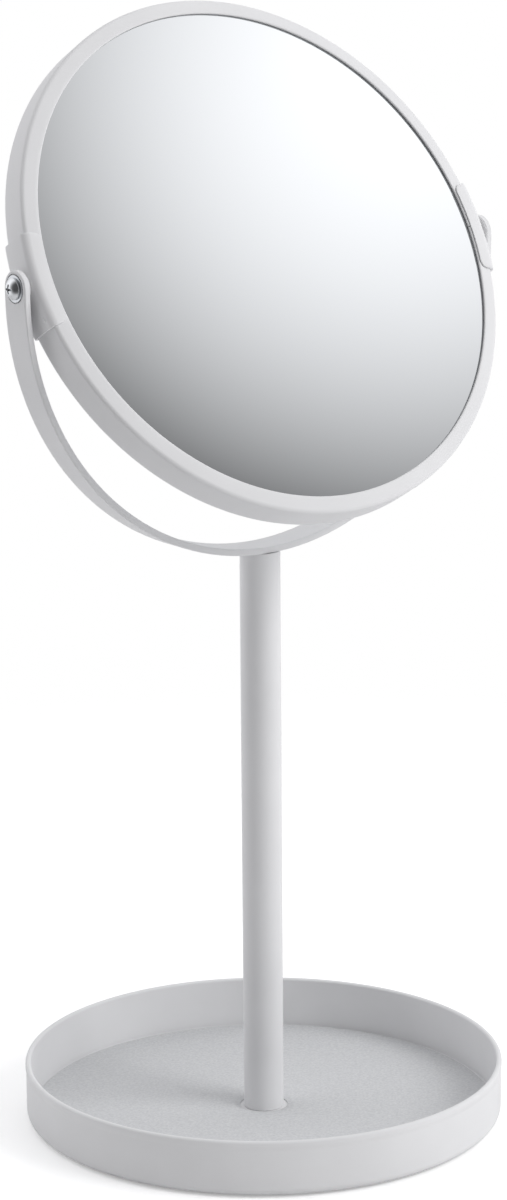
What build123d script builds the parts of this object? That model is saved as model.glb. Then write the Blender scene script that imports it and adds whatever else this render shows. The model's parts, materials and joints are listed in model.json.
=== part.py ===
"""Round two-sided vanity mirror on a post, standing in an open round tray.

Millimetres, +Z up.  The origin is the middle of the footprint, on the table.
X runs along the tilt pivots, and -Y is the side the user sits at.
"""
import os
from math import cos, radians, sin, sqrt

from build123d import *

# ---- sizes of the tray --------------------------------------------------
tray_radius = 92.5          # outside of the rolled lip
tray_height = 21.7          # sheet underside to the top of the lip
tray_floor = 1.2            # sheet thickness of the floor
tray_wall = 2.2             # width of the lip, inside face to outside
bead_step = 0.25            # how far the rolled lip stands out of the wall
bead_height = 2.3           # height of the rolled lip
tray_corner = 3.2           # outer radius between floor and wall
inner_corner = 1.0          # inner radius between floor and wall
pad_thickness = 0.6         # foam pad under the tray
pad_inset = 1.4             # pad edge inside the flat of the underside
pad_hole_margin = 0.8       # pad hole around the screw recess
liner_thickness = 0.9       # leatherette mat in the tray
liner_edge = 0.25           # rounded edge of the mat
liner_hole_gap = 1.35       # ring of bare tray around the post
spigot_height = 5.0         # raised centre that locates the post

# ---- sizes of the post and its fixing -----------------------------------
post_radius = 7.7
post_wall = 1.2
post_end_break = 0.3        # broken edge at the foot of the post
plug_length = 16.0          # threaded plug inside the foot of the post
screw_radius = 2.5          # base screw, shank
screw_head_radius = 4.4
screw_head_height = 2.6
screw_length = 14.0
screw_socket = 1.5          # hexagon socket, centre to corner
lock_washer_thickness = 1.2
lock_washer_radius = 4.3
lock_washer_split = 0.8

# ---- sizes of the yoke --------------------------------------------------
pivot_height = 334.2        # tilt axis above the table
arm_length = 2.5            # straight arm from the half ring up to the pivot
yoke_thickness = 2.6
yoke_width = 13.0
yoke_edge = 0.4             # bevel along the strip
yoke_recess = 0.6           # flat recess under the washer
recess_margin = 0.5

# ---- sizes of the mirror head -------------------------------------------
rest_tilt = 30.0            # degrees that the front glass looks upwards
rim_radius = 102.7          # outside of the rim
rim_half = 6.6              # half width of the rim at its outer edge
bezel_width = 6.3           # rim seen from the front, outer edge to the glass
lip_half = 7.8              # half width of the head at the lip
rim_sheet = 0.8
lip_land = 1.2              # flatter, turned-in edge of the bezel
land_drop = 0.15
rim_corner = 1.8            # rounded outer corner of the rim
rim_joint = 0.3             # gap between the two half hoops
glass_lap = 1.8             # glass behind the lip
glass_thickness = 2.4
glass_bevel = 0.5
magnifier_thickness = 2.2
magnifier_curve = 800.0     # radius of the concave magnifying glass
core_margin = 0.6           # core board beyond the glass edge

# ---- sizes of the pivots ------------------------------------------------
sleeve_angle = 10.0         # half the arc that each sleeve covers
sleeve_sheet = 1.3
sleeve_reach = 0.6          # bezel left bare inside the sleeve
sleeve_round = 3.0          # rounded corners of the sleeve flanges
boss_radius = 4.5
boss_length = 0.6           # flange of the boss outside the sleeve
neck_radius = 3.0
rivet_radius = 3.9          # peened end of the boss inside the rim
rivet_height = 0.9
pivot_radius = 2.0          # pivot screw, shank
pivot_head_radius = 4.0
pivot_head_height = 2.6
pivot_head_edge = 0.7       # straight part of the head's side
cross_length = 4.0          # cross recess in the head
cross_width = 0.8
cross_depth = 1.3
friction_washer = 0.6
spring_washer_radius = 4.9
spring_washer_sheet = 0.4
spring_washer_dish = 0.2

# ---- clearances ---------------------------------------------------------
fit_clearance = 0.05        # shank in its hole, plug in its tube
seat_clearance = 0.1        # sheet over sheet, glass behind its lip
side_clearance = 0.3        # washers beside the yoke
hole_clearance = 0.3        # loose holes

# ---- levels and radii that follow ---------------------------------------
tray_bottom = pad_thickness
floor_top = tray_bottom + tray_floor
tray_top = tray_bottom + tray_height
wall_radius = tray_radius - bead_step
tray_inner = tray_radius - tray_wall
post_bore = post_radius - post_wall
spigot_radius = post_bore - 3 * fit_clearance
recess_radius = spigot_radius - tray_floor
spigot_top = floor_top + spigot_height
web_bottom = spigot_top - tray_floor

lip_radius = rim_radius - bezel_width
rim_bore = rim_radius - rim_sheet
land_radius = lip_radius + lip_land
glass_radius = lip_radius + glass_lap
sleeve_inner = rim_radius + seat_clearance
sleeve_radius = sleeve_inner + sleeve_sheet
boss_face = sleeve_radius + boss_length
yoke_bore = boss_face + friction_washer + side_clearance
yoke_radius = yoke_bore + yoke_thickness
ring_height = pivot_height - arm_length
arm_reach = arm_length + yoke_width / 2
recess_face = yoke_radius - yoke_recess
washer_face = recess_face + side_clearance
head_face = washer_face + spring_washer_sheet + spring_washer_dish

# ---- frames of the tilted head ------------------------------------------
pivot = Vector(0, 0, pivot_height)
facing = Vector(0, -cos(radians(rest_tilt)), sin(radians(rest_tilt)))
upward = Vector(0, sin(radians(rest_tilt)), cos(radians(rest_tilt)))
facing_axis = Axis(pivot, facing)
pivot_axis = Axis(pivot, Vector(1, 0, 0))
glass_plane = Plane(origin=pivot, x_dir=(1, 0, 0), z_dir=facing)
section_plane = Plane(origin=pivot, x_dir=(1, 0, 0), z_dir=upward * -1)
pivot_plane = Plane(origin=pivot, x_dir=facing * -1, z_dir=(1, 0, 0))


def bezel_height(radius):
    """Half width of the head's outer surface at a radius on the bezel."""
    land_height = lip_half - land_drop
    slope = (land_height - rim_half) / (rim_radius - land_radius)
    return rim_half + slope * (rim_radius - radius)


def bezel_drop(thickness):
    """Height of a sheet laid on the bezel, measured along the head's axis."""
    rise = (lip_half - land_drop - rim_half) / (rim_radius - land_radius)
    return thickness * sqrt(1 + rise * rise)


def hollow(radius):
    """Depth of the magnifying glass's curve at a radius."""
    return magnifier_curve - sqrt(magnifier_curve**2 - radius**2)


glass_face = bezel_height(glass_radius) - bezel_drop(rim_sheet) - seat_clearance

# ---- base tray: spun dish with a rolled lip and a raised centre ----------
bead = tray_wall / 2
bead_under = tray_top - bead_height
screw_hole = screw_radius + hole_clearance
with BuildPart() as base_tray:
    with BuildSketch(Plane.XZ) as tray_section:
        with BuildLine() as tray_outline:
            Polyline(
                (screw_hole, spigot_top),
                (screw_hole, web_bottom),
                (recess_radius, web_bottom),
                (recess_radius, tray_bottom),
                (wall_radius - tray_corner, tray_bottom),
            )
            RadiusArc(
                (wall_radius - tray_corner, tray_bottom),
                (wall_radius, tray_bottom + tray_corner),
                -tray_corner,
            )
            Polyline(
                (wall_radius, tray_bottom + tray_corner),
                (wall_radius, bead_under - bead_step),
                (tray_radius, bead_under),
                (tray_radius, tray_top - bead),
            )
            RadiusArc((tray_radius, tray_top - bead), (tray_radius - bead, tray_top), -bead)
            RadiusArc((tray_radius - bead, tray_top), (tray_inner, tray_top - bead), -bead)
            Line((tray_inner, tray_top - bead), (tray_inner, floor_top + inner_corner))
            RadiusArc(
                (tray_inner, floor_top + inner_corner),
                (tray_inner - inner_corner, floor_top),
                inner_corner,
            )
            Polyline(
                (tray_inner - inner_corner, floor_top),
                (spigot_radius, floor_top),
                (spigot_radius, spigot_top),
                (screw_hole, spigot_top),
            )
        make_face()
    revolve(axis=Axis.Z)

# ---- tray liner: thin round mat with a hole around the post --------------
with BuildPart() as tray_liner:
    with BuildSketch(Plane.XY.offset(floor_top)):
        Circle(tray_inner - inner_corner - fit_clearance)
        Circle(post_radius + liner_hole_gap, mode=Mode.SUBTRACT)
    extrude(amount=liner_thickness)
    fillet(tray_liner.faces().sort_by(Axis.Z)[-1].edges(), liner_edge)

# ---- base pad: foam sheet glued under the tray ----------------------------
with BuildPart() as base_pad:
    with BuildSketch(Plane.XY):
        Circle(wall_radius - tray_corner - pad_inset)
        Circle(recess_radius + pad_hole_margin, mode=Mode.SUBTRACT)
    extrude(amount=pad_thickness)

# ---- post: tube, coped at the top to the underside of the yoke -----------
with BuildPart() as post_tube:
    with BuildSketch(Plane.XY.offset(floor_top)):
        Circle(post_radius)
        Circle(post_bore, mode=Mode.SUBTRACT)
    extrude(amount=ring_height - yoke_bore - floor_top)
    foot_edges = post_tube.edges().group_by(Axis.Z)[0]
    chamfer(foot_edges.sort_by(SortBy.RADIUS)[-1], post_end_break)
    with BuildSketch(Plane.XZ.offset(-2 * post_radius)):
        with Locations((0, ring_height)):
            Circle(yoke_radius)
    extrude(amount=4 * post_radius, mode=Mode.SUBTRACT)

# ---- foot plug: threaded slug fixed inside the post -----------------------
with BuildPart() as post_foot_plug:
    with BuildSketch(Plane.XY.offset(spigot_top)):
        Circle(post_bore - fit_clearance)
    extrude(amount=plug_length)
    chamfer(post_foot_plug.edges(), post_wall / 2)
    with BuildSketch(Plane.XY.offset(spigot_top)):
        Circle(screw_radius + fit_clearance)
    extrude(amount=plug_length, mode=Mode.SUBTRACT)

# ---- lock washer under the head of the base screw --------------------------
with BuildPart() as base_lock_washer:
    with BuildSketch(Plane.XY.offset(web_bottom)):
        Circle(lock_washer_radius)
        Circle(screw_radius + hole_clearance, mode=Mode.SUBTRACT)
        with Locations((lock_washer_radius / 2, 0)):
            Rectangle(lock_washer_radius, lock_washer_split, mode=Mode.SUBTRACT)
    extrude(amount=-lock_washer_thickness)

# ---- base screw: button head with a hexagon socket, up into the plug -------
screw_seat = web_bottom - lock_washer_thickness
with BuildPart() as base_screw:
    with BuildSketch(Plane.XY.offset(screw_seat)):
        Circle(screw_head_radius)
    extrude(amount=-screw_head_height)
    fillet(base_screw.edges().group_by(Axis.Z)[0], screw_head_height / 3)
    with BuildSketch(Plane.XY.offset(screw_seat)):
        Circle(screw_radius)
    extrude(amount=screw_length)
    chamfer(base_screw.edges().group_by(Axis.Z)[-1], screw_radius / 5)
    with BuildSketch(Plane.XY.offset(screw_seat - screw_head_height)):
        RegularPolygon(screw_socket, 6)
    extrude(amount=screw_head_height / 2, mode=Mode.SUBTRACT)

# ---- yoke: half ring of flat strip with rounded, drilled ends --------------
with BuildPart() as yoke:
    with BuildSketch(Plane.XZ) as ring_section:
        with Locations((0, ring_height)):
            Circle(yoke_radius)
        with Locations((0, ring_height + arm_reach / 2)):
            Rectangle(2 * yoke_radius, arm_reach)
        with Locations((0, ring_height + arm_reach + yoke_radius)):
            Rectangle(2 * yoke_radius, 2 * yoke_radius, mode=Mode.SUBTRACT)
        with Locations((0, ring_height)):
            Circle(yoke_bore, mode=Mode.SUBTRACT)
        with Locations((0, ring_height + arm_reach / 2)):
            Rectangle(2 * yoke_bore, arm_reach, mode=Mode.SUBTRACT)
    extrude(amount=yoke_width / 2, both=True)
    with BuildSketch(Plane.YZ) as end_outline:
        with Locations((0, pivot_height)):
            Circle(yoke_width / 2)
        with Locations((0, pivot_height - yoke_radius)):
            Rectangle(yoke_width, 2 * yoke_radius)
    extrude(amount=2 * yoke_radius, both=True, mode=Mode.INTERSECT)
    chamfer(yoke.faces().filter_by(Plane.XZ).edges(), yoke_edge)
    with BuildSketch(Plane.YZ) as pivot_holes:
        with Locations((0, pivot_height)):
            Circle(pivot_radius + fit_clearance)
    extrude(amount=2 * yoke_radius, both=True, mode=Mode.SUBTRACT)
    for side in (Plane.YZ.offset(recess_face), Plane.ZY.offset(recess_face)):
        with BuildSketch(side):
            with Locations(side.to_local_coords(pivot + Vector(side.origin.X, 0, 0))):
                Circle(spring_washer_radius + recess_margin)
        extrude(amount=2 * yoke_recess, mode=Mode.SUBTRACT)

# ---- front glass: flat disc behind the lip ---------------------------------
with BuildPart() as front_glass:
    with BuildSketch(glass_plane.offset(glass_face)):
        Circle(glass_radius)
    extrude(amount=-glass_thickness)
    chamfer(front_glass.edges(), glass_bevel)

# ---- rear glass: concave magnifying disc of even thickness -----------------
centre_depth = -glass_face + hollow(glass_radius)
with BuildPart() as rear_glass:
    with BuildSketch(section_plane) as magnifier_section:
        with BuildLine():
            face_arc = ThreePointArc(
                (0, centre_depth),
                (glass_radius / 2, centre_depth - hollow(glass_radius / 2)),
                (glass_radius, -glass_face),
            )
            Line((glass_radius, -glass_face), (glass_radius, -glass_face + magnifier_thickness))
            ThreePointArc(
                (glass_radius, -glass_face + magnifier_thickness),
                (glass_radius / 2, centre_depth - hollow(glass_radius / 2) + magnifier_thickness),
                (0, centre_depth + magnifier_thickness),
            )
            Line((0, centre_depth + magnifier_thickness), (0, centre_depth))
        make_face()
    revolve(axis=facing_axis)

# ---- core board between the two glasses ------------------------------------
core_radius = glass_radius + core_margin
core_front = glass_face - glass_thickness - seat_clearance
core_rear = centre_depth + magnifier_thickness + seat_clearance
with BuildPart() as core_board:
    with BuildSketch(section_plane) as core_section:
        with BuildLine():
            ThreePointArc(
                (0, core_rear),
                (core_radius / 2, core_rear - hollow(core_radius / 2)),
                (core_radius, core_rear - hollow(core_radius)),
            )
            Polyline(
                (core_radius, core_rear - hollow(core_radius)),
                (core_radius, core_front),
                (0, core_front),
                (0, core_rear),
            )
        make_face()
    revolve(axis=facing_axis)

# ---- rim: one rolled channel section, bent into two half hoops -------------
inner_land = bezel_height(land_radius) - bezel_drop(rim_sheet)
inner_lip = lip_half - rim_sheet
inner_edge = bezel_height(rim_bore) - bezel_drop(rim_sheet)
with BuildSketch(section_plane) as rim_section:
    with BuildLine():
        Polyline(
            (lip_radius, lip_half),
            (land_radius, lip_half - land_drop),
            (rim_radius, rim_half),
            (rim_radius, -rim_half),
            (land_radius, land_drop - lip_half),
            (lip_radius, -lip_half),
            close=True,
        )
    make_face()
    fillet(rim_section.vertices().group_by(Axis.X)[-1], rim_corner)
    with BuildLine():
        Polyline(
            (lip_radius, inner_lip),
            (land_radius, inner_land),
            (rim_bore, inner_edge),
            (rim_bore, -inner_edge),
            (land_radius, -inner_land),
            (lip_radius, -inner_lip),
            close=True,
        )
    make_face(mode=Mode.SUBTRACT)
    fillet(rim_section.vertices().group_by(Axis.X)[0], rim_sheet * 0.4)

joint_plane = Plane(origin=pivot, x_dir=facing, z_dir=upward)
with BuildPart() as upper_rim:
    add(rim_section.sketch)
    revolve(axis=facing_axis, revolution_arc=180)
    with BuildSketch(joint_plane):
        Rectangle(3 * lip_half, 3 * rim_radius)
    extrude(amount=rim_joint / 2, mode=Mode.SUBTRACT)
    with BuildSketch(pivot_plane):
        Circle(neck_radius + hole_clearance)
    extrude(amount=2 * rim_radius, both=True, mode=Mode.SUBTRACT)

with BuildPart() as lower_rim:
    mirror(upper_rim.part, about=joint_plane)

# ---- sleeves: bent channels that hold the two hoops together ---------------
flange_radius = lip_radius + sleeve_reach
cover_gap = bezel_drop(seat_clearance)
cover_full = bezel_drop(seat_clearance + sleeve_sheet)
with BuildPart() as right_sleeve:
    with BuildSketch(section_plane) as sleeve_section:
        with BuildLine():
            Polyline(
                (flange_radius, bezel_height(flange_radius) + cover_full),
                (sleeve_radius, bezel_height(sleeve_radius) + cover_full),
                (sleeve_radius, -bezel_height(sleeve_radius) - cover_full),
                (flange_radius, -bezel_height(flange_radius) - cover_full),
                close=True,
            )
        make_face()
        fillet(sleeve_section.vertices().group_by(Axis.X)[-1], rim_corner + sleeve_sheet)
        with BuildLine():
            Polyline(
                (flange_radius, bezel_height(flange_radius) + cover_gap),
                (sleeve_inner, bezel_height(sleeve_inner) + cover_gap),
                (sleeve_inner, -bezel_height(sleeve_inner) - cover_gap),
                (flange_radius, -bezel_height(flange_radius) - cover_gap),
                close=True,
            )
        make_face(mode=Mode.SUBTRACT)
    revolve(axis=facing_axis, revolution_arc=sleeve_angle)
    mirror(about=joint_plane)
    flange_ends = right_sleeve.edges().filter_by(lambda e: e.length < 2 * sleeve_sheet)
    fillet(flange_ends.sort_by_distance(pivot)[0:4], sleeve_round)
    with BuildSketch(pivot_plane):
        Circle(neck_radius + hole_clearance)
    extrude(amount=2 * rim_radius, mode=Mode.SUBTRACT)

with BuildPart() as left_sleeve:
    mirror(right_sleeve.part, about=Plane.YZ)

# ---- boss: threaded bush riveted through sleeve and rim --------------------
rivet_face = rim_bore - seat_clearance - fit_clearance
with BuildPart() as right_boss:
    with BuildSketch(section_plane) as boss_section:
        with BuildLine():
            Polyline(
                (rivet_face - rivet_height, pivot_radius + fit_clearance),
                (rivet_face - rivet_height, rivet_radius),
                (rivet_face, rivet_radius),
                (rivet_face, neck_radius),
                (sleeve_radius, neck_radius),
                (sleeve_radius, boss_radius),
                (boss_face, boss_radius),
                (boss_face, pivot_radius + fit_clearance),
                close=True,
            )
        make_face()
    revolve(axis=pivot_axis)

with BuildPart() as left_boss:
    mirror(right_boss.part, about=Plane.YZ)

# ---- nylon friction washer between boss and yoke ---------------------------
with BuildPart() as right_friction_washer:
    with BuildSketch(pivot_plane.offset(boss_face)):
        Circle(boss_radius)
        Circle(pivot_radius + hole_clearance, mode=Mode.SUBTRACT)
    extrude(amount=friction_washer)

with BuildPart() as left_friction_washer:
    mirror(right_friction_washer.part, about=Plane.YZ)

# ---- dished spring washer in the yoke's recess -----------------------------
with BuildPart() as right_spring_washer:
    with BuildSketch(section_plane) as dish_section:
        with BuildLine():
            Polyline(
                (washer_face, spring_washer_radius),
                (washer_face + spring_washer_sheet, spring_washer_radius),
                (head_face, pivot_radius + hole_clearance),
                (head_face - spring_washer_sheet, pivot_radius + hole_clearance),
                close=True,
            )
        make_face()
    revolve(axis=pivot_axis)

with BuildPart() as left_spring_washer:
    mirror(right_spring_washer.part, about=Plane.YZ)

# ---- pivot screw: domed chrome head, shank into the boss -------------------
head_crown = head_face + pivot_head_height
screw_end = rivet_face - rivet_height / 2
dome_height = pivot_head_height - pivot_head_edge
dome_radius = (dome_height**2 + pivot_head_radius**2) / (2 * dome_height)
with BuildPart() as right_pivot_screw:
    with BuildSketch(section_plane) as pivot_screw_section:
        with BuildLine():
            Polyline(
                (head_crown, 0),
                (screw_end, 0),
                (screw_end, pivot_radius),
                (head_face, pivot_radius),
                (head_face, pivot_head_radius),
                (head_face + pivot_head_edge, pivot_head_radius),
            )
            RadiusArc(
                (head_face + pivot_head_edge, pivot_head_radius),
                (head_crown, 0),
                dome_radius,
            )
        make_face()
    revolve(axis=pivot_axis)
    with BuildSketch(pivot_plane.offset(head_crown)):
        Rectangle(cross_length, cross_width)
        Rectangle(cross_width, cross_length)
    extrude(amount=-cross_depth, mode=Mode.SUBTRACT)

with BuildPart() as left_pivot_screw:
    mirror(right_pivot_screw.part, about=Plane.YZ)

# ---- one file per piece ----------------------------------------------------
pieces = {
    "base_tray": base_tray,
    "tray_liner": tray_liner,
    "base_pad": base_pad,
    "post_tube": post_tube,
    "post_foot_plug": post_foot_plug,
    "base_lock_washer": base_lock_washer,
    "base_screw": base_screw,
    "yoke": yoke,
    "front_glass": front_glass,
    "rear_glass": rear_glass,
    "core_board": core_board,
    "upper_rim": upper_rim,
    "lower_rim": lower_rim,
    "right_sleeve": right_sleeve,
    "left_sleeve": left_sleeve,
    "right_boss": right_boss,
    "left_boss": left_boss,
    "right_friction_washer": right_friction_washer,
    "left_friction_washer": left_friction_washer,
    "right_spring_washer": right_spring_washer,
    "left_spring_washer": left_spring_washer,
    "right_pivot_screw": right_pivot_screw,
    "left_pivot_screw": left_pivot_screw,
}
os.makedirs("parts", exist_ok=True)
for label, piece in pieces.items():
    piece.part.label = label
    export_step(piece.part, f"parts/{label}.step")
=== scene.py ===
"""Round two-sided vanity mirror on a post, in an open round tray.

Fine shapes, finishes, light and camera, round the CAD solids of the frame.
Places are in metres, +Z up.  The origin is the middle of the footprint, X runs along
the tilt pivots and -Y is the side the user sits at.  Sizes of drawn pieces are in
millimetres until they become a mesh.
"""
import json
from math import acos, cos, pi, radians, sin, sqrt, tan

import bmesh
import bpy
from mathutils import Matrix, Vector


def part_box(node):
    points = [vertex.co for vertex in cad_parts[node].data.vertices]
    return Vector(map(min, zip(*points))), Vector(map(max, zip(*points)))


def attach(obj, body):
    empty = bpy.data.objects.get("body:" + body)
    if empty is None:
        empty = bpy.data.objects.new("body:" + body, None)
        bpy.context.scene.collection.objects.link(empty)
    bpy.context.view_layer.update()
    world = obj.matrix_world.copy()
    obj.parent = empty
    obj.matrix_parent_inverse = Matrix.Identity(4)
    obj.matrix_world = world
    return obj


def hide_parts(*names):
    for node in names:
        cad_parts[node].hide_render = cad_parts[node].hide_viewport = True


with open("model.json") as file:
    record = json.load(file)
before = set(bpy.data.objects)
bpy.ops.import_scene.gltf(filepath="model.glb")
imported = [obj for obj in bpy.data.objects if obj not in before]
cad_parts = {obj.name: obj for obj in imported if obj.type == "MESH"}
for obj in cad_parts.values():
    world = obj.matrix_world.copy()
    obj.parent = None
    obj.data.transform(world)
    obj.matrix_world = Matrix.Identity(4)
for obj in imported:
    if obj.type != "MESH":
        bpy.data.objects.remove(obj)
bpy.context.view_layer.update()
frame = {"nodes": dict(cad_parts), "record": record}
MM = 0.001


# ---- nodes and colours -----------------------------------------------------
def linear(hex_colour):
    """Turns an sRGB hex value into the linear colour that the shader works in."""
    channels = [int(hex_colour[i:i + 2], 16) / 255 for i in (1, 3, 5)]
    lit = [c / 12.92 if c <= 0.04045 else ((c + 0.055) / 1.055) ** 2.4 for c in channels]
    return (*lit, 1.0)


def add_node(tree, kind, traits=None, values=None, links=None):
    """Adds a node, sets its traits and socket values, and links its inputs."""
    made = tree.nodes.new(kind)
    for name, trait in (traits or {}).items():
        setattr(made, name, trait)
    for socket, value in (values or {}).items():
        made.inputs[socket].default_value = value
    for socket, source in (links or {}).items():
        tree.links.new(source, made.inputs[socket])
    return made


def new_finish(name):
    """An empty material and its node tree."""
    finish = bpy.data.materials.new(name)
    finish.use_nodes = True
    finish.node_tree.nodes.clear()
    return finish, finish.node_tree


def cells_per_metre(millimetres):
    """Pattern scale that makes one cell of a texture this wide."""
    return 1 / (millimetres * MM)


# ---- finishes ----------------------------------------------------------------
def powder_coated_steel():
    """Mild steel, powder-coated pale grey and baked.

    The powder flows out into a faint orange peel, so highlights spread to a soft satin
    that rolls evenly over every folded edge.
    """
    peel_width, peel_depth = 1.6, 0.03
    grit_width = 0.35
    film_width = 38                     # how far apart the film grows thick and thin
    finish, tree = new_finish("powder_coated_steel")
    here = add_node(tree, "ShaderNodeTexCoord").outputs["Object"]
    peel = add_node(tree, "ShaderNodeTexNoise",
                    values={"Scale": cells_per_metre(peel_width), "Detail": 2.0, "Roughness": 0.45},
                    links={"Vector": here})
    grit = add_node(tree, "ShaderNodeTexNoise",
                    values={"Scale": cells_per_metre(grit_width), "Detail": 1.0},
                    links={"Vector": here})
    film = add_node(tree, "ShaderNodeTexNoise",
                    values={"Scale": cells_per_metre(film_width), "Detail": 3.0},
                    links={"Vector": here})
    tone = add_node(tree, "ShaderNodeMapRange",
                    values={"From Min": 0.3, "From Max": 0.7},
                    links={"Value": film.outputs["Fac"]})
    colour = add_node(tree, "ShaderNodeMix", {"data_type": "RGBA"},
                      {"A": linear("#E3E3E4"), "B": linear("#E8E8E9")},
                      {"Factor": tone.outputs["Result"]})
    satin = add_node(tree, "ShaderNodeMapRange",
                     values={"From Min": 0.3, "From Max": 0.7, "To Min": 0.43, "To Max": 0.48},
                     links={"Value": grit.outputs["Fac"]})
    orange_peel = add_node(tree, "ShaderNodeBump",
                           values={"Strength": 0.06, "Distance": peel_depth * MM},
                           links={"Height": peel.outputs["Fac"]})
    paint = add_node(tree, "ShaderNodeBsdfPrincipled",
                     values={"IOR": 1.5, "Metallic": 0.0},
                     links={"Base Color": colour.outputs["Result"],
                            "Roughness": satin.outputs["Result"],
                            "Normal": orange_peel.outputs["Normal"]})
    add_node(tree, "ShaderNodeOutputMaterial", links={"Surface": paint.outputs["BSDF"]})
    return finish


def embossed_leatherette():
    """Grey leatherette, embossed with a fine pebble.

    The small pebbles break the light up, so the mat looks duller than the paint round it.
    Its colour is mottled, darker in the low creases: partly random tone, partly painted shade.
    """
    pebble_width, mottle_width = 0.6, 1.0
    emboss_depth = 0.06
    finish, tree = new_finish("embossed_leatherette")
    here = add_node(tree, "ShaderNodeTexCoord").outputs["Object"]
    pebble = add_node(tree, "ShaderNodeTexVoronoi",
                      values={"Scale": cells_per_metre(pebble_width), "Randomness": 1.0},
                      links={"Vector": here})
    mottle = add_node(tree, "ShaderNodeTexNoise",
                      values={"Scale": cells_per_metre(mottle_width), "Detail": 5.0, "Roughness": 0.65},
                      links={"Vector": here})
    tone_and_crease_shade = add_node(tree, "ShaderNodeMapRange",
                    values={"From Min": 0.32, "From Max": 0.68},
                    links={"Value": mottle.outputs["Fac"]})
    # colour follows the mottle, darker where the creases sink: random tone and painted shade in the
    # creases
    colour = add_node(tree, "ShaderNodeMix", {"data_type": "RGBA"},
                      {"A": linear("#C5C6C8"), "B": linear("#D8D9DA")},
                      {"Factor": tone_and_crease_shade.outputs["Result"]})
    grain = add_node(tree, "ShaderNodeBump",
                     values={"Strength": 0.4, "Distance": emboss_depth * MM},
                     links={"Height": pebble.outputs["Distance"]})
    creases = add_node(tree, "ShaderNodeBump",
                       values={"Strength": 0.3, "Distance": emboss_depth * MM},
                       links={"Height": mottle.outputs["Fac"], "Normal": grain.outputs["Normal"]})
    skin = add_node(tree, "ShaderNodeBsdfPrincipled",
                    values={"Roughness": 0.74, "IOR": 1.46},
                    links={"Base Color": colour.outputs["Result"],
                           "Normal": creases.outputs["Normal"]})
    add_node(tree, "ShaderNodeOutputMaterial", links={"Surface": skin.outputs["BSDF"]})
    return finish


def silvered_glass():
    """Float glass, silvered behind and ground at the edge.

    A clean, slightly cool mirror, with a haze too faint to see but in a highlight's edge.
    """
    haze_width = 22
    finish, tree = new_finish("silvered_glass")
    here = add_node(tree, "ShaderNodeTexCoord").outputs["Object"]
    haze = add_node(tree, "ShaderNodeTexNoise",
                    values={"Scale": cells_per_metre(haze_width), "Detail": 4.0},
                    links={"Vector": here})
    polish = add_node(tree, "ShaderNodeMapRange",
                      values={"From Min": 0.35, "From Max": 0.8, "To Min": 0.008, "To Max": 0.022},
                      links={"Value": haze.outputs["Fac"]})
    silver = add_node(tree, "ShaderNodeBsdfPrincipled",
                      values={"Base Color": linear("#F4F6F7"), "Metallic": 1.0},
                      links={"Roughness": polish.outputs["Result"]})
    add_node(tree, "ShaderNodeOutputMaterial", links={"Surface": silver.outputs["BSDF"]})
    return finish


def bright_chrome():
    """Steel screws, nickel and chrome plated: hard dark and light reflections."""
    smear_width, edge_radius = 0.9, 0.12
    finish, tree = new_finish("bright_chrome")
    here = add_node(tree, "ShaderNodeTexCoord").outputs["Object"]
    smear = add_node(tree, "ShaderNodeTexNoise",
                     values={"Scale": cells_per_metre(smear_width), "Detail": 2.0},
                     links={"Vector": here})
    polish = add_node(tree, "ShaderNodeMapRange",
                      values={"To Min": 0.05, "To Max": 0.14},
                      links={"Value": smear.outputs["Fac"]})
    rounded = add_node(tree, "ShaderNodeBevel", {"samples": 4}, {"Radius": edge_radius * MM})
    plate = add_node(tree, "ShaderNodeBsdfPrincipled",
                     values={"Base Color": linear("#D4D6D8"), "Metallic": 1.0},
                     links={"Roughness": polish.outputs["Result"],
                            "Normal": rounded.outputs["Normal"]})
    add_node(tree, "ShaderNodeOutputMaterial", links={"Surface": plate.outputs["BSDF"]})
    return finish


def zinc_plated_steel():
    """Steel, barrel-plated with zinc: dull silver with a crystalline bloom."""
    bloom_width = 0.8                   # coarser than real crystals, which wouldn't show
    finish, tree = new_finish("zinc_plated_steel")
    here = add_node(tree, "ShaderNodeTexCoord").outputs["Object"]
    bloom = add_node(tree, "ShaderNodeTexNoise",
                     values={"Scale": cells_per_metre(bloom_width), "Detail": 4.0},
                     links={"Vector": here})
    colour = add_node(tree, "ShaderNodeMix", {"data_type": "RGBA"},
                      {"A": linear("#B9BCC0"), "B": linear("#D2D4D6")},
                      {"Factor": bloom.outputs["Fac"]})
    dull = add_node(tree, "ShaderNodeMapRange",
                    values={"To Min": 0.24, "To Max": 0.42},
                    links={"Value": bloom.outputs["Fac"]})
    plate = add_node(tree, "ShaderNodeBsdfPrincipled",
                     values={"Metallic": 1.0},
                     links={"Base Color": colour.outputs["Result"],
                            "Roughness": dull.outputs["Result"]})
    add_node(tree, "ShaderNodeOutputMaterial", links={"Surface": plate.outputs["BSDF"]})
    return finish


def moulded_nylon():
    """Nylon, injection-moulded in natural white: smooth and waxy."""
    flow_width = 2.5
    finish, tree = new_finish("moulded_nylon")
    here = add_node(tree, "ShaderNodeTexCoord").outputs["Object"]
    flow = add_node(tree, "ShaderNodeTexNoise",
                    values={"Scale": cells_per_metre(flow_width), "Detail": 2.0},
                    links={"Vector": here})
    waxy = add_node(tree, "ShaderNodeMapRange",
                    values={"To Min": 0.32, "To Max": 0.46},
                    links={"Value": flow.outputs["Fac"]})
    body = add_node(tree, "ShaderNodeBsdfPrincipled",
                    values={"Base Color": linear("#E6E5E0"), "IOR": 1.53},
                    links={"Roughness": waxy.outputs["Result"]})
    add_node(tree, "ShaderNodeOutputMaterial", links={"Surface": body.outputs["BSDF"]})
    return finish


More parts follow.
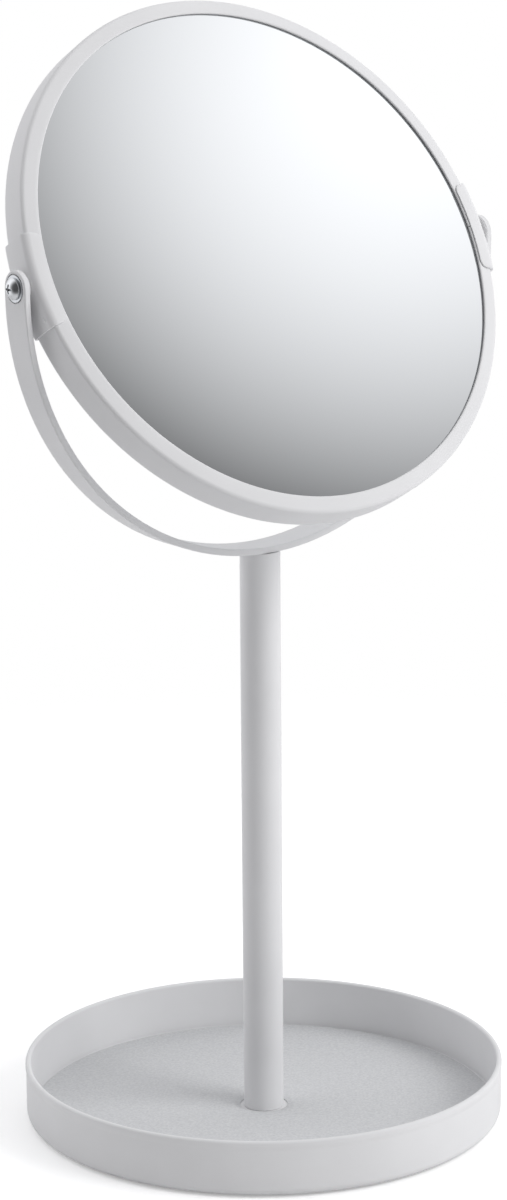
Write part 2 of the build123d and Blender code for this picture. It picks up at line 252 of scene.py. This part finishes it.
def foam_sheet():
    """Closed-cell foam, sliced thin: dull, with open cells across the cut."""
    cell_width, cell_depth = 0.7, 0.15
    finish, tree = new_finish("foam_sheet")
    here = add_node(tree, "ShaderNodeTexCoord").outputs["Object"]
    cells = add_node(tree, "ShaderNodeTexVoronoi",
                     values={"Scale": cells_per_metre(cell_width)},
                     links={"Vector": here})
    # colour darker towards the middle of each cell, where the bump sinks the pit: painted shade in the
    # pits
    colour = add_node(tree, "ShaderNodeMix", {"data_type": "RGBA"},
                      {"A": linear("#C9C9C7"), "B": linear("#DEDEDC")},
                      {"Factor": cells.outputs["Distance"]})
    pits = add_node(tree, "ShaderNodeBump",
                    values={"Strength": 0.7, "Distance": cell_depth * MM},
                    links={"Height": cells.outputs["Distance"]})
    foam = add_node(tree, "ShaderNodeBsdfPrincipled",
                    values={"Roughness": 0.92, "IOR": 1.49},
                    links={"Base Color": colour.outputs["Result"],
                           "Normal": pits.outputs["Normal"]})
    add_node(tree, "ShaderNodeOutputMaterial", links={"Surface": foam.outputs["BSDF"]})
    return finish


def pressed_board():
    """Hardboard, hot-pressed from wood fibre: brown, with flecks of fibre."""
    fibre_width, nap_depth = 1.5, 0.1
    finish, tree = new_finish("pressed_board")
    here = add_node(tree, "ShaderNodeTexCoord").outputs["Object"]
    fibre = add_node(tree, "ShaderNodeTexNoise",
                     values={"Scale": cells_per_metre(fibre_width), "Detail": 8.0, "Roughness": 0.75},
                     links={"Vector": here})
    colour = add_node(tree, "ShaderNodeMix", {"data_type": "RGBA"},
                      {"A": linear("#8A6F52"), "B": linear("#B89B78")},
                      {"Factor": fibre.outputs["Fac"]})
    nap = add_node(tree, "ShaderNodeBump",
                   values={"Strength": 0.4, "Distance": nap_depth * MM},
                   links={"Height": fibre.outputs["Fac"]})
    board = add_node(tree, "ShaderNodeBsdfPrincipled",
                     values={"Roughness": 0.8, "IOR": 1.5},
                     links={"Base Color": colour.outputs["Result"],
                            "Normal": nap.outputs["Normal"]})
    add_node(tree, "ShaderNodeOutputMaterial", links={"Surface": board.outputs["BSDF"]})
    return finish


finishes = {
    "painted_steel": powder_coated_steel(),
    "liner": embossed_leatherette(),
    "foam_pad": foam_sheet(),
    "plain_steel": zinc_plated_steel(),
    "mirror_glass": silvered_glass(),
    "core_board": pressed_board(),
    "nylon": moulded_nylon(),
    "chrome": bright_chrome(),
}
bodies = frame["record"]["behaviour"]["bodies"]
slot_of = {subpart["node"]: subpart["material_slot"] for subpart in frame["record"]["subparts"]}
body_of_node = {node: body for body, nodes in bodies.items() for node in nodes}
for node, slot in slot_of.items():
    for socket in frame["nodes"][node].material_slots:
        socket.link = "OBJECT"
        socket.material = finishes[slot]


# ---- places and sizes, from the frame --------------------------------------------
def half_width(node):
    """Half width in mm, along X, of a node centred on the origin or lying to its right."""
    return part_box(node)[1].x / MM


facet_inset = 0.005                     # keeps a true circle inside the facets of its solid
upright = Matrix.Identity(4)
along_pivots = Matrix.Rotation(pi / 2, 4, "Y")
tilt = radians(30.0)                    # the front glass looks up by this much
pivot = Vector(frame["record"]["behaviour"]["joints"][0]["pos_m"])
head_place = Matrix(((1, 0, 0, pivot.x),
                     (0, sin(tilt), -cos(tilt), pivot.y),
                     (0, cos(tilt), sin(tilt), pivot.z),
                     (0, 0, 0, 1)))     # Z out of the front glass
left_place = head_place @ Matrix.Rotation(pi, 4, "Z")
tray_edge = half_width("base_tray")
tray_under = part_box("base_tray")[0].z / MM
tray_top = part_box("base_tray")[1].z / MM
floor_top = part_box("tray_liner")[0].z / MM
mat_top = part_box("tray_liner")[1].z / MM
mat_edge = half_width("tray_liner")
post_edge = half_width("post_tube")
rim_edge = half_width("upper_rim") - facet_inset
glass_edge = half_width("front_glass")
sleeve_edge = half_width("right_sleeve")
screw_crown = half_width("right_pivot_screw")


# ---- turned and rolled pieces ------------------------------------------------------
def softened(corners, steps=6):
    """Outline points of corners (radius, height, bend), each rounded by its own bend."""
    outline = []
    for i, (x, y, bend) in enumerate(corners):
        here = Vector((x, y))
        if bend <= 0:
            outline.append(here)
            continue
        back = (Vector(corners[i - 1][:2]) - here).normalized()
        ahead = (Vector(corners[(i + 1) % len(corners)][:2]) - here).normalized()
        half = acos(max(-1.0, min(1.0, back.dot(ahead)))) / 2
        middle = here + (back + ahead).normalized() * (bend / sin(half))
        start = here + back * (bend / tan(half)) - middle
        end = here + ahead * (bend / tan(half)) - middle
        for step in range(steps + 1):
            outline.append(middle + start.lerp(end, step / steps).normalized() * bend)
    return outline


def swept(outlines, angles, place, closed):
    """Skins outlines in mm, each at its own angle about the Z axis of a place."""
    same_point = 0.0005 * MM
    shape = bmesh.new()
    rings = []
    for outline, angle in zip(outlines, angles):
        points = [Vector((x * MM * cos(angle), x * MM * sin(angle), y * MM)) for x, y in outline]
        rings.append([shape.verts.new(place @ point) for point in points])
    pairs = list(zip(rings, rings[1:]))
    if closed:
        pairs.append((rings[-1], rings[0]))
    for near, far in pairs:
        for i in range(len(near)):
            j = (i + 1) % len(near)
            shape.faces.new((near[i], near[j], far[j], far[i]))
    if not closed:
        shape.faces.new(rings[0])
        shape.faces.new(rings[-1])
    bmesh.ops.remove_doubles(shape, verts=shape.verts, dist=same_point)
    bmesh.ops.recalc_face_normals(shape, faces=shape.faces)
    return shape


def smooth_but_sharp(mesh, sharp=radians(32)):
    """Shades a mesh smooth, but for the edges that turn by more than an angle."""
    mesh.shade_smooth()
    mesh.set_sharp_from_angle(angle=sharp)


def fitted(name, shape, node, replaces=True):
    """Makes the object of a shape, with the finish and body of a CAD node, and in its place."""
    mesh = bpy.data.meshes.new(name)
    shape.to_mesh(mesh)
    shape.free()
    smooth_but_sharp(mesh)
    mesh.materials.append(finishes[slot_of[node]])
    piece = bpy.data.objects.new(name, mesh)
    bpy.context.collection.objects.link(piece)
    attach(piece, body_of_node[node])
    if replaces:
        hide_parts(node)
    return piece


def turned(name, outline, place, node, segments=360):
    """A closed outline, turned once about the Z axis of a place."""
    angles = [2 * pi * ring / segments for ring in range(segments)]
    return fitted(name, swept([outline] * segments, angles, place, closed=True), node)


def cut_out(piece, cutter):
    """Takes a cutter's shape out of a piece."""
    mesh = bpy.data.meshes.new("cutter")
    cutter.to_mesh(mesh)
    cutter.free()
    tool = bpy.data.objects.new("cutter", mesh)
    bpy.context.collection.objects.link(tool)
    cut = piece.modifiers.new("cut", "BOOLEAN")
    cut.operation = "DIFFERENCE"
    cut.solver = "EXACT"
    cut.object = tool
    whole = piece.evaluated_get(bpy.context.evaluated_depsgraph_get())
    left = bpy.data.meshes.new_from_object(whole)
    piece.modifiers.clear()
    smooth_but_sharp(left)
    piece.data = left
    bpy.data.objects.remove(tool)


def neck_drill(radius):
    """A round bar right along the pivot line, to drill holes for the necks of the bosses."""
    length = 3 * rim_edge
    bar = bmesh.new()
    bmesh.ops.create_cone(bar, cap_ends=True, segments=72,
                          radius1=radius * MM, radius2=radius * MM, depth=length * MM,
                          matrix=Matrix.Translation(pivot) @ along_pivots)
    return bar


# ---- tray: spun dish whose edge is rolled outwards over itself ----------------------
wall_setback = 0.25                     # how far the rolled edge stands out of the wall
lip_width, lip_height, lip_bend = 2.2, 2.6, 1.05
flare_start, flare_end, flare_bend = 0.9, 0.5, 2.0    # the wall swells out under the lip
foot_bend, floor_bend = 3.2, 1.0
screw_hole = 2.8                        # radius, like the other holes
spigot_edge, spigot_height, spigot_bend = 6.35, 5.0, 0.4    # raised centre inside the post
spigot_foot_bend, recess_bend = 0.3, 0.5
cut_bend = 0.15                         # edge left by a clean cut
wall_edge = tray_edge - wall_setback
tray_inside = tray_edge - lip_width
lip_under = tray_top - lip_height
spigot_top = floor_top + spigot_height
sheet = floor_top - tray_under
tray_outline = softened([
    (screw_hole, spigot_top, cut_bend),
    (screw_hole, spigot_top - sheet, cut_bend),
    (spigot_edge - sheet, spigot_top - sheet, recess_bend),
    (spigot_edge - sheet, tray_under, recess_bend),
    (wall_edge, tray_under, foot_bend),
    (wall_edge, lip_under - flare_start, flare_bend),
    (tray_edge, lip_under + flare_end, flare_bend),
    (tray_edge, tray_top, lip_bend),
    (tray_inside, tray_top, lip_bend),
    (tray_inside, floor_top, floor_bend),
    (spigot_edge, floor_top, spigot_foot_bend),
    (spigot_edge, spigot_top, spigot_bend)], steps=8)
turned("spun_tray", tray_outline, upright, "base_tray", segments=480)

# ---- mat: leatherette disc, its inner edge skived thin so that it lies down -----------
mat_gap = 1.55                          # ring of bare tray round the post
mat_bend = 0.4
skive, skive_width, skive_bend = 0.45, 2.4, 2.5    # thickness left, and the slope down to it
mat_hole = post_edge + mat_gap
mat_outline = softened([
    (mat_hole, floor_top, 0),
    (mat_edge, floor_top, 0),
    (mat_edge, mat_top, mat_bend),
    (mat_hole + skive_width, mat_top, skive_bend),
    (mat_hole, floor_top + skive, cut_bend)])
turned("leatherette_mat", mat_outline, upright, "tray_liner")

# ---- rim: two half hoops of rolled channel, edge turned in over the glass -------------
rim_sheet = 0.8
lip_inset = 6.3                         # rim seen from the front, outer edge to the glass
land_inset = 5.1                        # outer edge to the flatter, turned-in strip at the lip
lip_face, land_face, edge_face = 7.8, 7.65, 6.6    # half widths of the head at these places
rim_bend, channel_bend = 1.8, 0.8
land_bend, land_under_bend = 0.8, 0.4
rim_lip_bend, rim_lip_under_bend = 0.5, 0.12
neck_hole = 3.3
hoop_gap = 0.3                          # between the ends of the two hoops
hoop_rings = 240
rim_bore = rim_edge - rim_sheet
lip, land = rim_edge - lip_inset, rim_edge - land_inset
slope = (land_face - edge_face) / (rim_edge - land)
sheet_drop = rim_sheet * sqrt(1 + slope ** 2)    # the sheet's thickness, along the head's axis


def bezel(radius):
    """Height in mm of the bezel's outer face at a radius."""
    return edge_face + slope * (rim_edge - radius)


def both_sides(corners):
    """The corners of one side, followed by their mirror image on the other."""
    return corners + [(x, -y, bend) for x, y, bend in reversed(corners)]


rim_outline = softened(both_sides([
    (rim_bore, bezel(rim_bore) - sheet_drop, channel_bend),
    (land, land_face - sheet_drop, land_under_bend),
    (lip, lip_face - rim_sheet, rim_lip_under_bend),
    (lip, lip_face, rim_lip_bend),
    (land, land_face, land_bend),
    (rim_edge, edge_face, rim_bend)]), steps=7)
half_gap = hoop_gap / 2 / rim_edge
hoop_turn = pi - 2 * half_gap
for name, node, first in (("upper_half_hoop", "upper_rim", 0.0), ("lower_half_hoop", "lower_rim", pi)):
    angles = [first + half_gap + hoop_turn * ring / hoop_rings for ring in range(hoop_rings + 1)]
    shape = swept([rim_outline] * len(angles), angles, head_place, closed=False)
    hoop = fitted(name, shape, node)
    cut_out(hoop, neck_drill(neck_hole))

# ---- sleeves: pressed channels, flanges dressed down thin over the bezel --------------
sleeve_slack, flange_gap = 0.1, 0.1     # clearance over the rim's edge and over the bezel
flange_overlap = 0.6                    # the flange ends this far outside the rim's lip
flange_sheet = 0.55                     # thickness left at the edge of the flange
flange_bend, flange_under_bend = 0.25, 0.08
sleeve_face = 7.74                      # height of the outer corner, before it is rounded
sleeve_bend, sleeve_under_bend = 3.1, 1.8
sleeve_half = radians(10.0)
sleeve_round = 3.0                      # radius of the flange's corners, seen from the front
corner_steps, middle_steps = 6, 8
sleeve_bore = rim_edge + sleeve_slack
flange_end = lip + flange_overlap


def sleeve_outline(flange):
    """Section of a sleeve whose flanges end at a radius."""
    flange_under = bezel(flange) + flange_gap
    return softened(both_sides([
        (sleeve_bore, bezel(sleeve_bore) + flange_gap, sleeve_under_bend),
        (flange, flange_under, flange_under_bend),
        (flange, flange_under + flange_sheet, flange_bend),
        (sleeve_edge, sleeve_face, sleeve_bend)]))


quarter_turn = [radians(90 * step / corner_steps) for step in range(corner_steps + 1)]
corner_angles = [sleeve_half - sleeve_round * (1 - cos(a)) / flange_end for a in quarter_turn]
corner_flanges = [flange_end + sleeve_round * (1 - sin(a)) for a in quarter_turn]
middle_angles = [corner_angles[-1] * (1 - step / middle_steps) for step in range(1, 2 * middle_steps)]
sleeve_angles = corner_angles + middle_angles + [-angle for angle in reversed(corner_angles)]
flanges = corner_flanges + [flange_end] * len(middle_angles) + corner_flanges[::-1]
sleeve_outlines = [sleeve_outline(flange) for flange in flanges]
for side, place in (("right", head_place), ("left", left_place)):
    shape = swept(sleeve_outlines, sleeve_angles, place, closed=False)
    sleeve = fitted(f"{side}_pressed_sleeve", shape, f"{side}_sleeve")
    cut_out(sleeve, neck_drill(neck_hole))

# ---- stake marks: the small raised dots that key each sleeve to the lower hoop ---------
stake_angle = radians(8.0)
stake_height, stake_radius = 4.0, 0.8
stake_rise = 0.3                        # how far it stands out, as a share of its radius
for side, place, downwards in (("right", head_place, -1), ("left", left_place, 1)):
    middle = Vector((sleeve_edge * cos(stake_angle),
                     downwards * sleeve_edge * sin(stake_angle),
                     stake_height)) * MM
    outwards = Matrix.Rotation(downwards * stake_angle, 4, "Z")
    flattened = Matrix.Diagonal((stake_rise, 1.0, 1.0, 1.0))
    dot = bmesh.new()
    bmesh.ops.create_uvsphere(dot, u_segments=24, v_segments=12, radius=stake_radius * MM,
                              matrix=place @ Matrix.Translation(middle) @ outwards @ flattened)
    fitted(f"{side}_stake_mark", dot, f"{side}_sleeve", replaces=False)

# ---- glasses: ground edge, flat in front and hollow behind -----------------------------
grind = 0.5                             # width of the ground edge
glass_gap = 0.1                         # between the glass and the rim's sheet
front_sheet, rear_sheet = 2.4, 2.2      # thicknesses
hollow_radius, hollow_steps = 800.0, 48
front_face = bezel(glass_edge) - sheet_drop - glass_gap
front_back = front_face - front_sheet
front_outline = [
    (0, front_face),
    (glass_edge - grind, front_face),
    (glass_edge, front_face - grind),
    (glass_edge, front_back + grind),
    (glass_edge - grind, front_back),
    (0, front_back)]
turned("front_mirror", front_outline, head_place, "front_glass")


def hollow(radius):
    """Depth in mm of the magnifying glass's curve at a radius."""
    return hollow_radius - sqrt(hollow_radius ** 2 - radius ** 2)


middle_face = hollow(glass_edge) - front_face
radii = [glass_edge * step / hollow_steps for step in range(hollow_steps + 1)]
rear_outline = [(r, middle_face - hollow(r)) for r in radii]
rear_outline += [(r, middle_face - hollow(r) + rear_sheet) for r in reversed(radii)]
turned("magnifying_mirror", rear_outline, head_place, "rear_glass")

# ---- pivot screws: domed heads with a cross recess that narrows as it goes in -----------
shank, shank_chamfer = 2.0, 0.3
shank_inset = 0.6                       # how far its end lies inside the rim's wall
head_radius, head_height, head_chamfer = 4.0, 2.6, 0.15
head_side = 0.7                         # straight side under the dome
dome_steps = 24
arm_mouth, arm_bottom = (4.6, 0.9), (1.8, 0.6)    # length and width of the recess's arms
arm_rise, arm_depth = 0.3, 1.5          # their cutter reaches above and below the crown
head_base = screw_crown - head_height
shank_end = rim_bore - shank_inset
dome = head_height - head_side
dome_radius = (dome ** 2 + head_radius ** 2) / (2 * dome)
dome_middle = screw_crown - dome_radius
screw_outline = [
    (0, shank_end),
    (shank - shank_chamfer, shank_end),
    (shank, shank_end + shank_chamfer),
    (shank, head_base),
    (head_radius - head_chamfer, head_base),
    (head_radius, head_base + head_chamfer)]
for step in range(dome_steps, -1, -1):
    r = head_radius * step / dome_steps
    screw_outline.append((r, dome_middle + sqrt(dome_radius ** 2 - r ** 2)))


def recess_wedge(place):
    """One arm of the cross recess: a bar that narrows towards its bottom."""
    wedge = bmesh.new()
    bmesh.ops.create_cube(wedge, size=1.0)
    for corner in wedge.verts:
        at_mouth = corner.co.z > 0
        length, width = arm_mouth if at_mouth else arm_bottom
        height = screw_crown + arm_rise if at_mouth else screw_crown - arm_depth
        corner.co = (corner.co.x * length * MM, corner.co.y * width * MM, height * MM)
    bmesh.ops.transform(wedge, matrix=place, verts=wedge.verts)
    return wedge


for side, way_round in (("right", 0.0), ("left", pi)):
    place = Matrix.Translation(pivot) @ Matrix.Rotation(way_round, 4, "Z") @ along_pivots
    screw = turned(f"{side}_domed_screw", screw_outline, place, f"{side}_pivot_screw", segments=96)
    for arm in (0.0, pi / 2):
        cut_out(screw, recess_wedge(place @ Matrix.Rotation(arm, 4, "Z")))

# ---- camera ------------------------------------------------------------------
camera_azimuth = radians(-37.09)        # where it stands, 0 being straight in front
camera_distance, camera_height = 1.4584, 0.5587
camera_heading = radians(-36.99)        # where it looks, 0 being straight to the back
camera_dip = radians(13.66)
camera_roll = radians(-0.44)
camera_data = bpy.data.cameras.new("photo_camera")
camera_data.lens = 119.1
camera_data.sensor_width = 36.0
camera_data.clip_end = 60.0
camera = bpy.data.objects.new("photo_camera", camera_data)
camera.location = (sin(camera_azimuth) * camera_distance,
                   -cos(camera_azimuth) * camera_distance,
                   camera_height)
camera_turn = (Matrix.Rotation(camera_heading, 3, "Z")
               @ Matrix.Rotation(pi / 2 - camera_dip, 3, "X")
               @ Matrix.Rotation(camera_roll, 3, "Z"))
camera.rotation_euler = camera_turn.to_euler()
bpy.context.collection.objects.link(camera)
bpy.context.scene.camera = camera

# ---- lamp: one large softbox to the right of the user's side -----------------------------
lamp_way = Vector((0.435, -0.70, 0.56)).normalized()
lamp_distance, lamp_size, lamp_watts = 1.7, 0.9, 12.8
lamp_aim = Vector((0, 0, 0.2))          # about half way up the object
lamp_data = bpy.data.lights.new("key_softbox", "AREA")
lamp_data.shape = "SQUARE"
lamp_data.size = lamp_size
lamp_data.energy = lamp_watts
lamp = bpy.data.objects.new("key_softbox", lamp_data)
lamp.location = lamp_aim + lamp_way * lamp_distance
lamp.rotation_euler = lamp_way.to_track_quat("Z", "Y").to_euler()
lamp.visible_glossy = False             # the glass shows the studio's own softbox, below
bpy.context.collection.objects.link(lamp)

# ---- studio: a pale room round the object, and plain white behind it ---------------------
ground_glow, wall_glow = 0.74, 0.80     # strengths, of which 1 is white
horizon_low, horizon_high = -0.1, 0.05  # ray heights between which the one fades to the other
card_way = Vector((-0.69, 0.69, 0.21)).normalized()
dark_way = Vector((-0.90, -0.38, 0.21)).normalized()
softbox_way = Vector((0.632, -0.473, 0.614)).normalized()
# Each row gives a direction, the cosines of the angle from it at which its thing starts and
# is full, how it changes the room's strength, the numbers for that, and how it fades.
white_card = (card_way, (0.45, 1.0), "ADD", (0.0, 0.58), "SMOOTHSTEP")
dark_side = (dark_way, (0.38, 0.94), "MULTIPLY", (1.0, 0.12), "SMOOTHSTEP")
black_flag = (softbox_way, (0.93, 0.985), "MULTIPLY", (1.0, 0.10), "SMOOTHSTEP")
glass_softbox = (softbox_way, (0.9922, 1.0), "ADD", (0.0, 1.12), "LINEAR")

world = bpy.data.worlds.new("white_studio")
bpy.context.scene.world = world
world.use_nodes = True
sky = world.node_tree
sky.nodes.clear()
ray_way = add_node(sky, "ShaderNodeTexCoord").outputs["Generated"]
ray_height = add_node(sky, "ShaderNodeSeparateXYZ", links={"Vector": ray_way}).outputs["Z"]
room = add_node(sky, "ShaderNodeMapRange", {"interpolation_type": "SMOOTHSTEP"},
                {"From Min": horizon_low, "From Max": horizon_high,
                 "To Min": ground_glow, "To Max": wall_glow},
                {"Value": ray_height})
strength = room.outputs["Result"]
for direction, (starts, full), change, (none, all_of_it), fade in (
        white_card, dark_side, black_flag, glass_softbox):
    cosine = add_node(sky, "ShaderNodeVectorMath", {"operation": "DOT_PRODUCT"},
                      {1: direction}, {0: ray_way})
    amount = add_node(sky, "ShaderNodeMapRange", {"interpolation_type": fade},
                      {"From Min": starts, "From Max": full, "To Min": none, "To Max": all_of_it},
                      {"Value": cosine.outputs["Value"]})
    changed = add_node(sky, "ShaderNodeMath", {"operation": change},
                       links={0: strength, 1: amount.outputs["Result"]})
    strength = changed.outputs["Value"]
studio = add_node(sky, "ShaderNodeBackground",
                  values={"Color": linear("#FDFDFF")}, links={"Strength": strength})
white = add_node(sky, "ShaderNodeBackground",
                 values={"Color": linear("#FFFFFF"), "Strength": 1.0})
ray = add_node(sky, "ShaderNodeLightPath")
backdrop = add_node(sky, "ShaderNodeMixShader",
                    links={0: ray.outputs["Is Camera Ray"],
                           1: studio.outputs["Background"],
                           2: white.outputs["Background"]})
add_node(sky, "ShaderNodeOutputWorld", links={"Surface": backdrop.outputs["Shader"]})

# ---- floor: keeps the object's shadow and fades into the white ---------------------------
floor_half = 0.7                        # half the side of the square, in metres
floor_drop = 0.05                       # in mm, so that it doesn't touch the foam pad
fade_start, fade_end = 0.30, 0.65       # metres from the middle
camera_lift = 0.32                      # glow that only the camera sees, to reach white


def matt_white_floor():
    """Matt white paper: it keeps the shadow and fades to clear further out."""
    finish, tree = new_finish("matt_white_floor")
    here = add_node(tree, "ShaderNodeTexCoord").outputs["Object"]
    from_camera = add_node(tree, "ShaderNodeLightPath").outputs["Is Camera Ray"]
    paper = add_node(tree, "ShaderNodeBsdfDiffuse",
                     values={"Color": linear("#F4F4F4"), "Roughness": 0.0})
    lift = add_node(tree, "ShaderNodeMath", {"operation": "MULTIPLY"},
                    {1: camera_lift}, {0: from_camera})
    glow = add_node(tree, "ShaderNodeEmission",
                    values={"Color": linear("#FFFFFF")}, links={"Strength": lift.outputs["Value"]})
    lit = add_node(tree, "ShaderNodeAddShader",
                   links={0: paper.outputs["BSDF"], 1: glow.outputs["Emission"]})
    clear = add_node(tree, "ShaderNodeBsdfTransparent")
    from_middle = add_node(tree, "ShaderNodeVectorMath", {"operation": "LENGTH"}, links={0: here})
    fade = add_node(tree, "ShaderNodeMapRange", {"interpolation_type": "SMOOTHSTEP"},
                    {"From Min": fade_start, "From Max": fade_end},
                    {"Value": from_middle.outputs["Value"]})
    surface = add_node(tree, "ShaderNodeMixShader",
                       links={0: fade.outputs["Result"],
                              1: lit.outputs["Shader"],
                              2: clear.outputs["BSDF"]})
    add_node(tree, "ShaderNodeOutputMaterial", links={"Surface": surface.outputs["Shader"]})
    return finish


floor_corners = [(-floor_half, -floor_half, 0), (floor_half, -floor_half, 0),
                 (floor_half, floor_half, 0), (-floor_half, floor_half, 0)]
floor_mesh = bpy.data.meshes.new("floor")
floor_mesh.from_pydata(floor_corners, [], [(0, 1, 2, 3)])
floor_mesh.materials.append(matt_white_floor())
floor = bpy.data.objects.new("floor", floor_mesh)
floor.location = (0, 0, -floor_drop * MM)
bpy.context.collection.objects.link(floor)

bpy.context.scene.view_settings.view_transform = "Standard"
